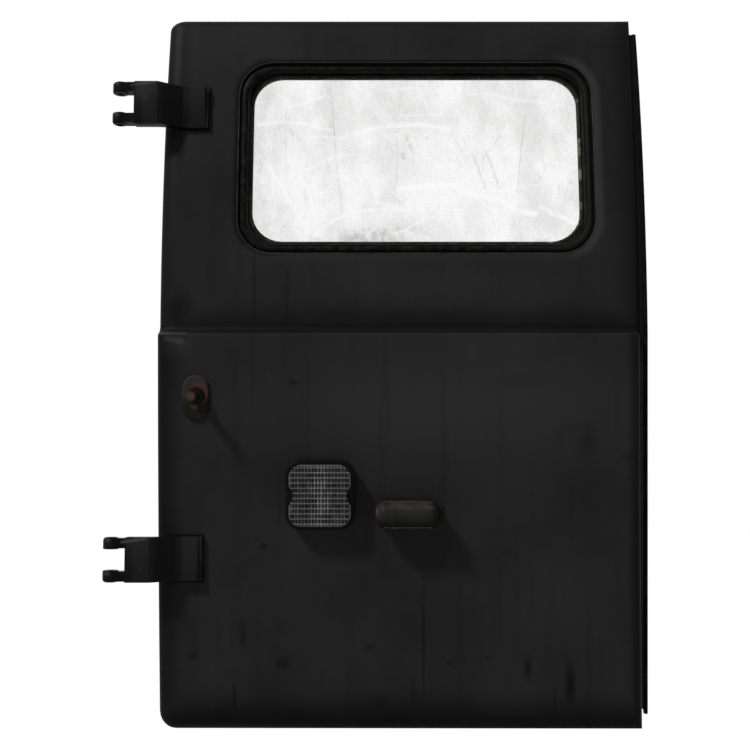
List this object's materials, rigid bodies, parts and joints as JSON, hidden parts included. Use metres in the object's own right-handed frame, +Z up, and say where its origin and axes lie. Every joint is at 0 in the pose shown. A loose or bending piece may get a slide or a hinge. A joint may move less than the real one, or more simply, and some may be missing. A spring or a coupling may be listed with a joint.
{
  "type": "van rear door",
  "caption": "Left leaf of a van's rear doors: a pressed skin with a belt step, a fixed window, fork hinges, a reversing lamp, a number plate lamp and a door stop.",
  "frame": {"origin": "on the hinge axis, at the middle of the lower fork", "axes": "+Z up the hinge axis, -Y out of the vehicle, +X from the hinges to the meeting edge"},
  "size_m": [0.8185, 0.1395, 1.1066],
  "materials": {
    "body_paint": "worn satin black paint over steel, dusty, with water streaks",
    "inner_paint": "plain satin black paint over steel",
    "seal_rubber": "matte black rubber",
    "filler_bead": "grey bead, rounded and shiny",
    "worn_lip": "dull grey-green lip, rubbed pale in places",
    "window_glass": "clear glass with fine scratches, scuffs and dust",
    "cast_hinge": "black painted casting, smooth",
    "bare_steel": "dull dark steel",
    "lamp_housing": "black moulded plastic, slightly shiny",
    "reflector": "bright plated bowl",
    "bulb_glass": "clear bulb glass",
    "lamp_lens": "clear moulded lens with flutes",
    "lamp_hood": "black paint worn through to brown along the edges",
    "stop_paint": "black paint rubbed to brown",
    "rusty_stud": "plated steel with rust"
  },
  "bodies": {
    "root": {"outer_skin": "body_paint", "inner_panel": "inner_paint", "meeting_flange": "inner_paint", "meeting_seal": "seal_rubber", "window_surround": "body_paint", "window_collar": "inner_paint", "window_seal": "seal_rubber", "window_filler_strip": "filler_bead", "window_inner_lip": "worn_lip", "window_glass": "window_glass", "upper_hinge_arm": "cast_hinge", "lower_hinge_arm": "cast_hinge", "upper_hinge_gasket": "seal_rubber", "lower_hinge_gasket": "seal_rubber", "upper_hinge_plate": "bare_steel", "lower_hinge_plate": "bare_steel", "reversing_lamp_gasket": "seal_rubber", "reversing_lamp_housing": "lamp_housing", "reversing_lamp_reflector": "reflector", "reversing_lamp_bulb": "bulb_glass", "reversing_lamp_lens": "lamp_lens", "plate_lamp_base": "lamp_housing", "plate_lamp_hood": "lamp_hood", "plate_lamp_bulb": "bulb_glass", "plate_lamp_lens": "lamp_lens", "stop_plate": "stop_paint", "stop_nut": "bare_steel", "stop_stud": "rusty_stud"}
  },
  "joints": []
}
